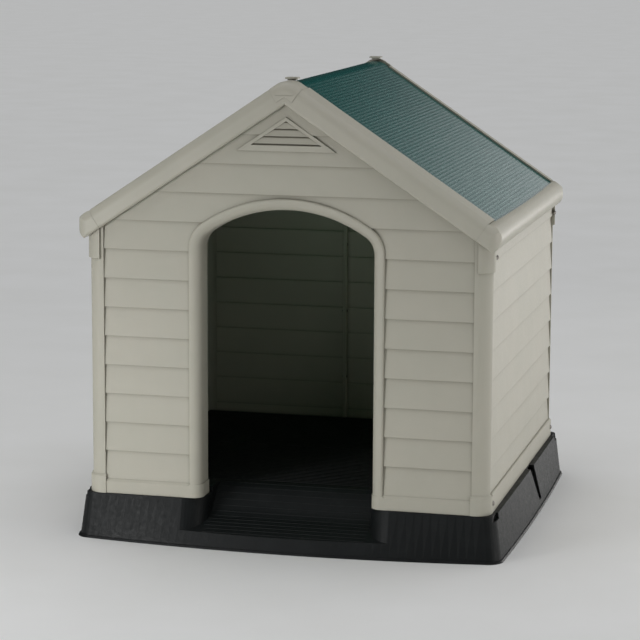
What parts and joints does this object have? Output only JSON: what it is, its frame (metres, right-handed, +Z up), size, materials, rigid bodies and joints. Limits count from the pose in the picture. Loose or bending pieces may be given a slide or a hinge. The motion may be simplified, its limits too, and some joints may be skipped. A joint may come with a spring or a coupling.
{
  "type": "gabled plastic animal hutch",
  "caption": "Gabled plastic animal hutch with lap-sided walls, an arched doorway, a louvred gable vent, a raised base with a sloping porch, and a ribbed roof that lifts off.",
  "frame": {"origin": "on the ground, under the middle of the hutch's overall box", "axes": "+X across the doorway, to the right of someone looking in; -Y is the doorway side; +Z up"},
  "size_m": [1, 1.022, 1.0517],
  "materials": {
    "wall_plastic": "moulded cream polypropylene, fine matt texture",
    "trim_plastic": "moulded cream polypropylene, smooth satin",
    "roof_plastic": "dark green polypropylene, ribbed and slightly glossy",
    "base_plastic": "charcoal polypropylene, coarse matt texture",
    "screw_steel": "dark zinc-plated steel"
  },
  "bodies": {
    "housing": {"base_front": "base_plastic", "base_rear": "base_plastic", "base_screws": "screw_steel", "front_wall": "wall_plastic", "gable_vent": "wall_plastic", "side_wall_left": "wall_plastic", "side_wall_right": "wall_plastic", "rear_wall_left": "wall_plastic", "rear_wall_right": "wall_plastic", "rear_seam_screws": "screw_steel", "corner_screws": "screw_steel"},
    "roof": {"roof_panel_left": "roof_plastic", "roof_panel_right": "roof_plastic", "ridge_beam": "trim_plastic", "rake_trim_front_left": "trim_plastic", "rake_trim_front_right": "trim_plastic", "rake_trim_rear_left": "trim_plastic", "rake_trim_rear_right": "trim_plastic", "eave_trim_left": "trim_plastic", "eave_trim_right": "trim_plastic", "ridge_cap_front": "trim_plastic", "ridge_cap_rear": "trim_plastic", "ridge_clip_front": "trim_plastic", "ridge_clip_rear": "trim_plastic", "roof_screws": "screw_steel"}
  },
  "joints": [
    {"name": "roof_lift", "type": "slide", "parent": "housing", "child": "roof", "axis": [0, 0, 1], "range_m": [0, 0.4]}
  ]
}
